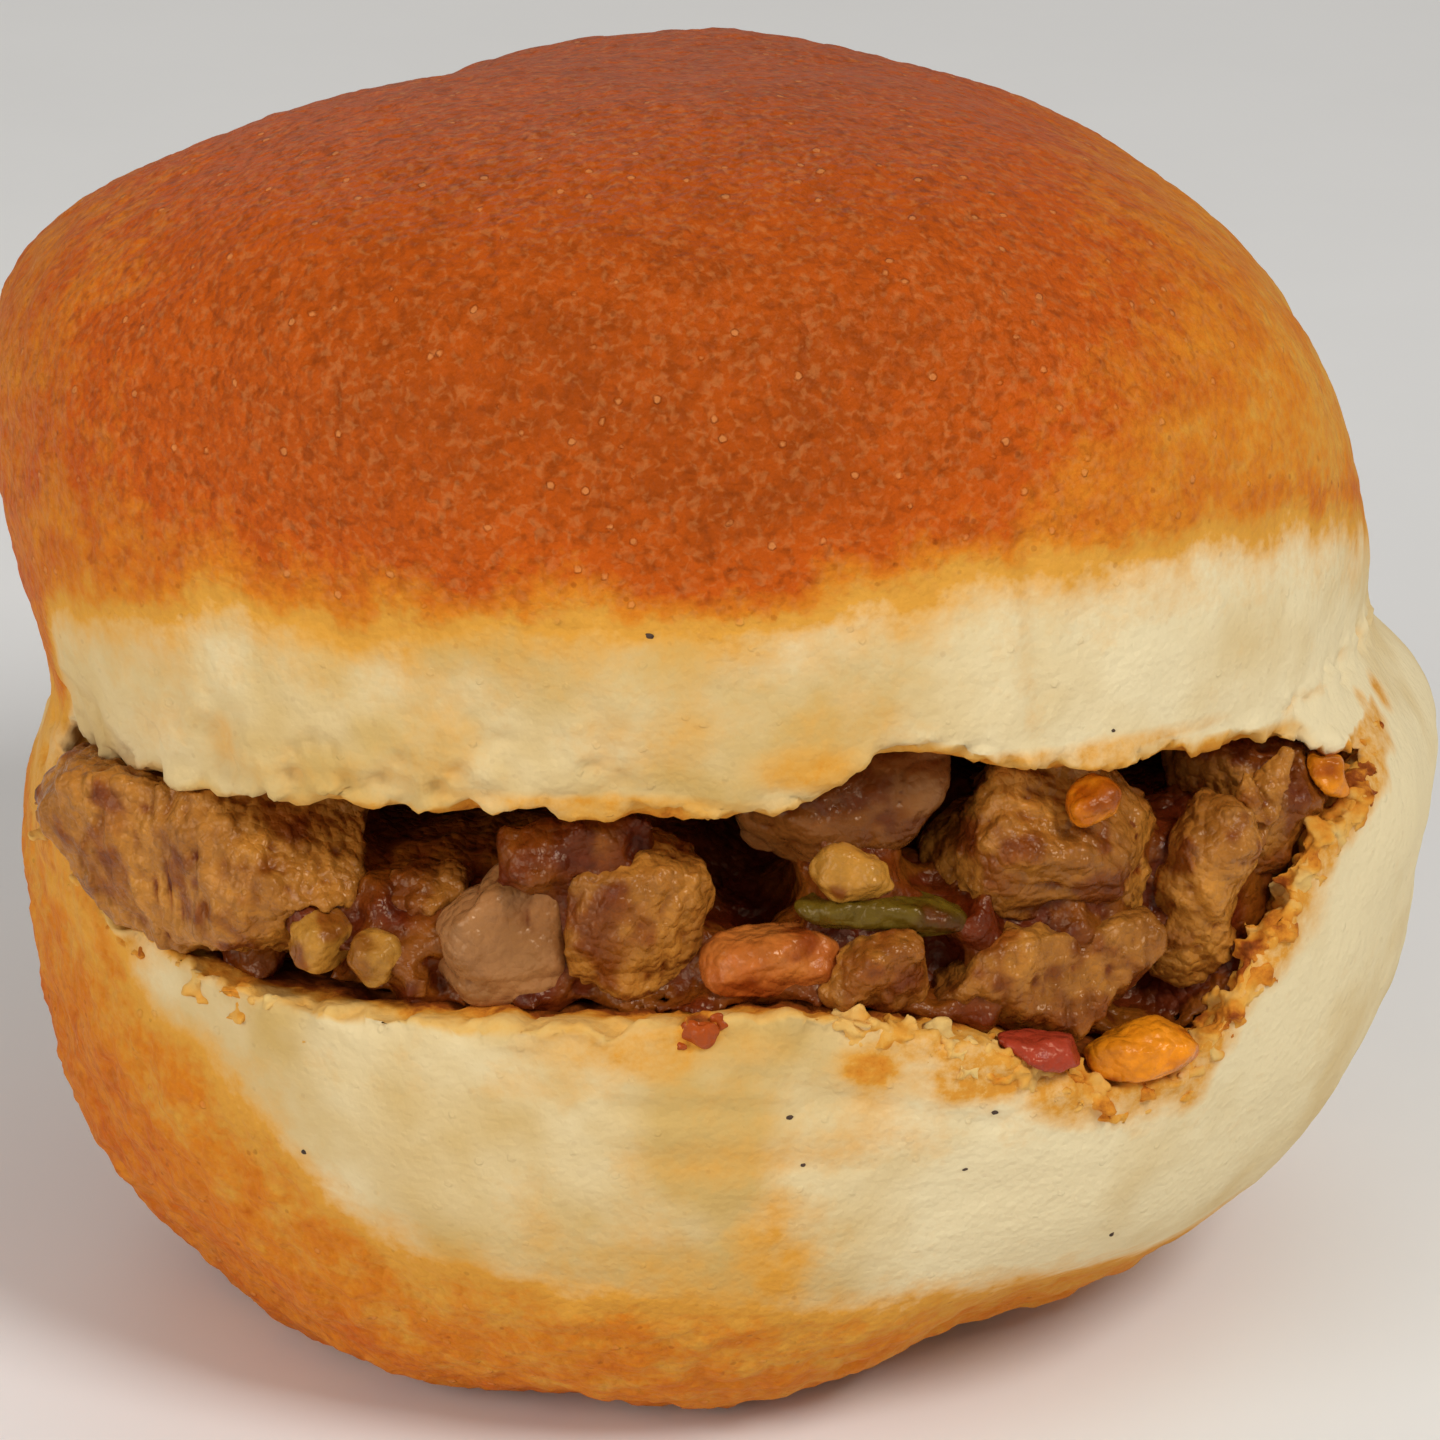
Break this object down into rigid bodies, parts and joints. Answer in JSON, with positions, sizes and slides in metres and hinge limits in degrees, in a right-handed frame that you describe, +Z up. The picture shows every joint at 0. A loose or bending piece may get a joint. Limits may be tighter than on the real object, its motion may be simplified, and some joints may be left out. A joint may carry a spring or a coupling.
{
  "type": "mince curry vetkoek",
  "caption": "Round fried bread bun, slit open at the front and filled with chunky mince curry, resting on its flattened base.",
  "frame": {"origin": "centre of the bounding box at its bottom, on the plane the bread rests on", "axes": "+Z up, the slit with the curry faces -Y, +X to the right as seen from the slit"},
  "size_m": [0.1116, 0.1024, 0.0986],
  "materials": {
    "bread": "matte",
    "curry": "glossy",
    "meat": "satin",
    "onion": "glossy",
    "potato": "satin",
    "tomato": "glossy",
    "carrot": "satin",
    "red_pepper": "glossy",
    "green_pepper": "glossy"
  },
  "bodies": {
    "root": {"bread": "bread", "curry_mince": "curry", "meat_left": "meat", "meat_centre": "meat", "meat_centre_left": "meat", "meat_low_centre": "meat", "meat_right": "meat", "meat_low_right": "meat", "meat_upright": "meat", "meat_far_right": "meat", "onion_grey": "onion", "onion_brown": "onion", "potato_left": "potato", "potato_left_low": "potato", "potato_centre": "potato", "tomato_centre": "tomato", "green_pepper": "green_pepper", "red_pepper": "red_pepper", "carrot_top": "carrot", "carrot_front": "carrot", "carrot_far_right": "carrot"}
  },
  "joints": []
}
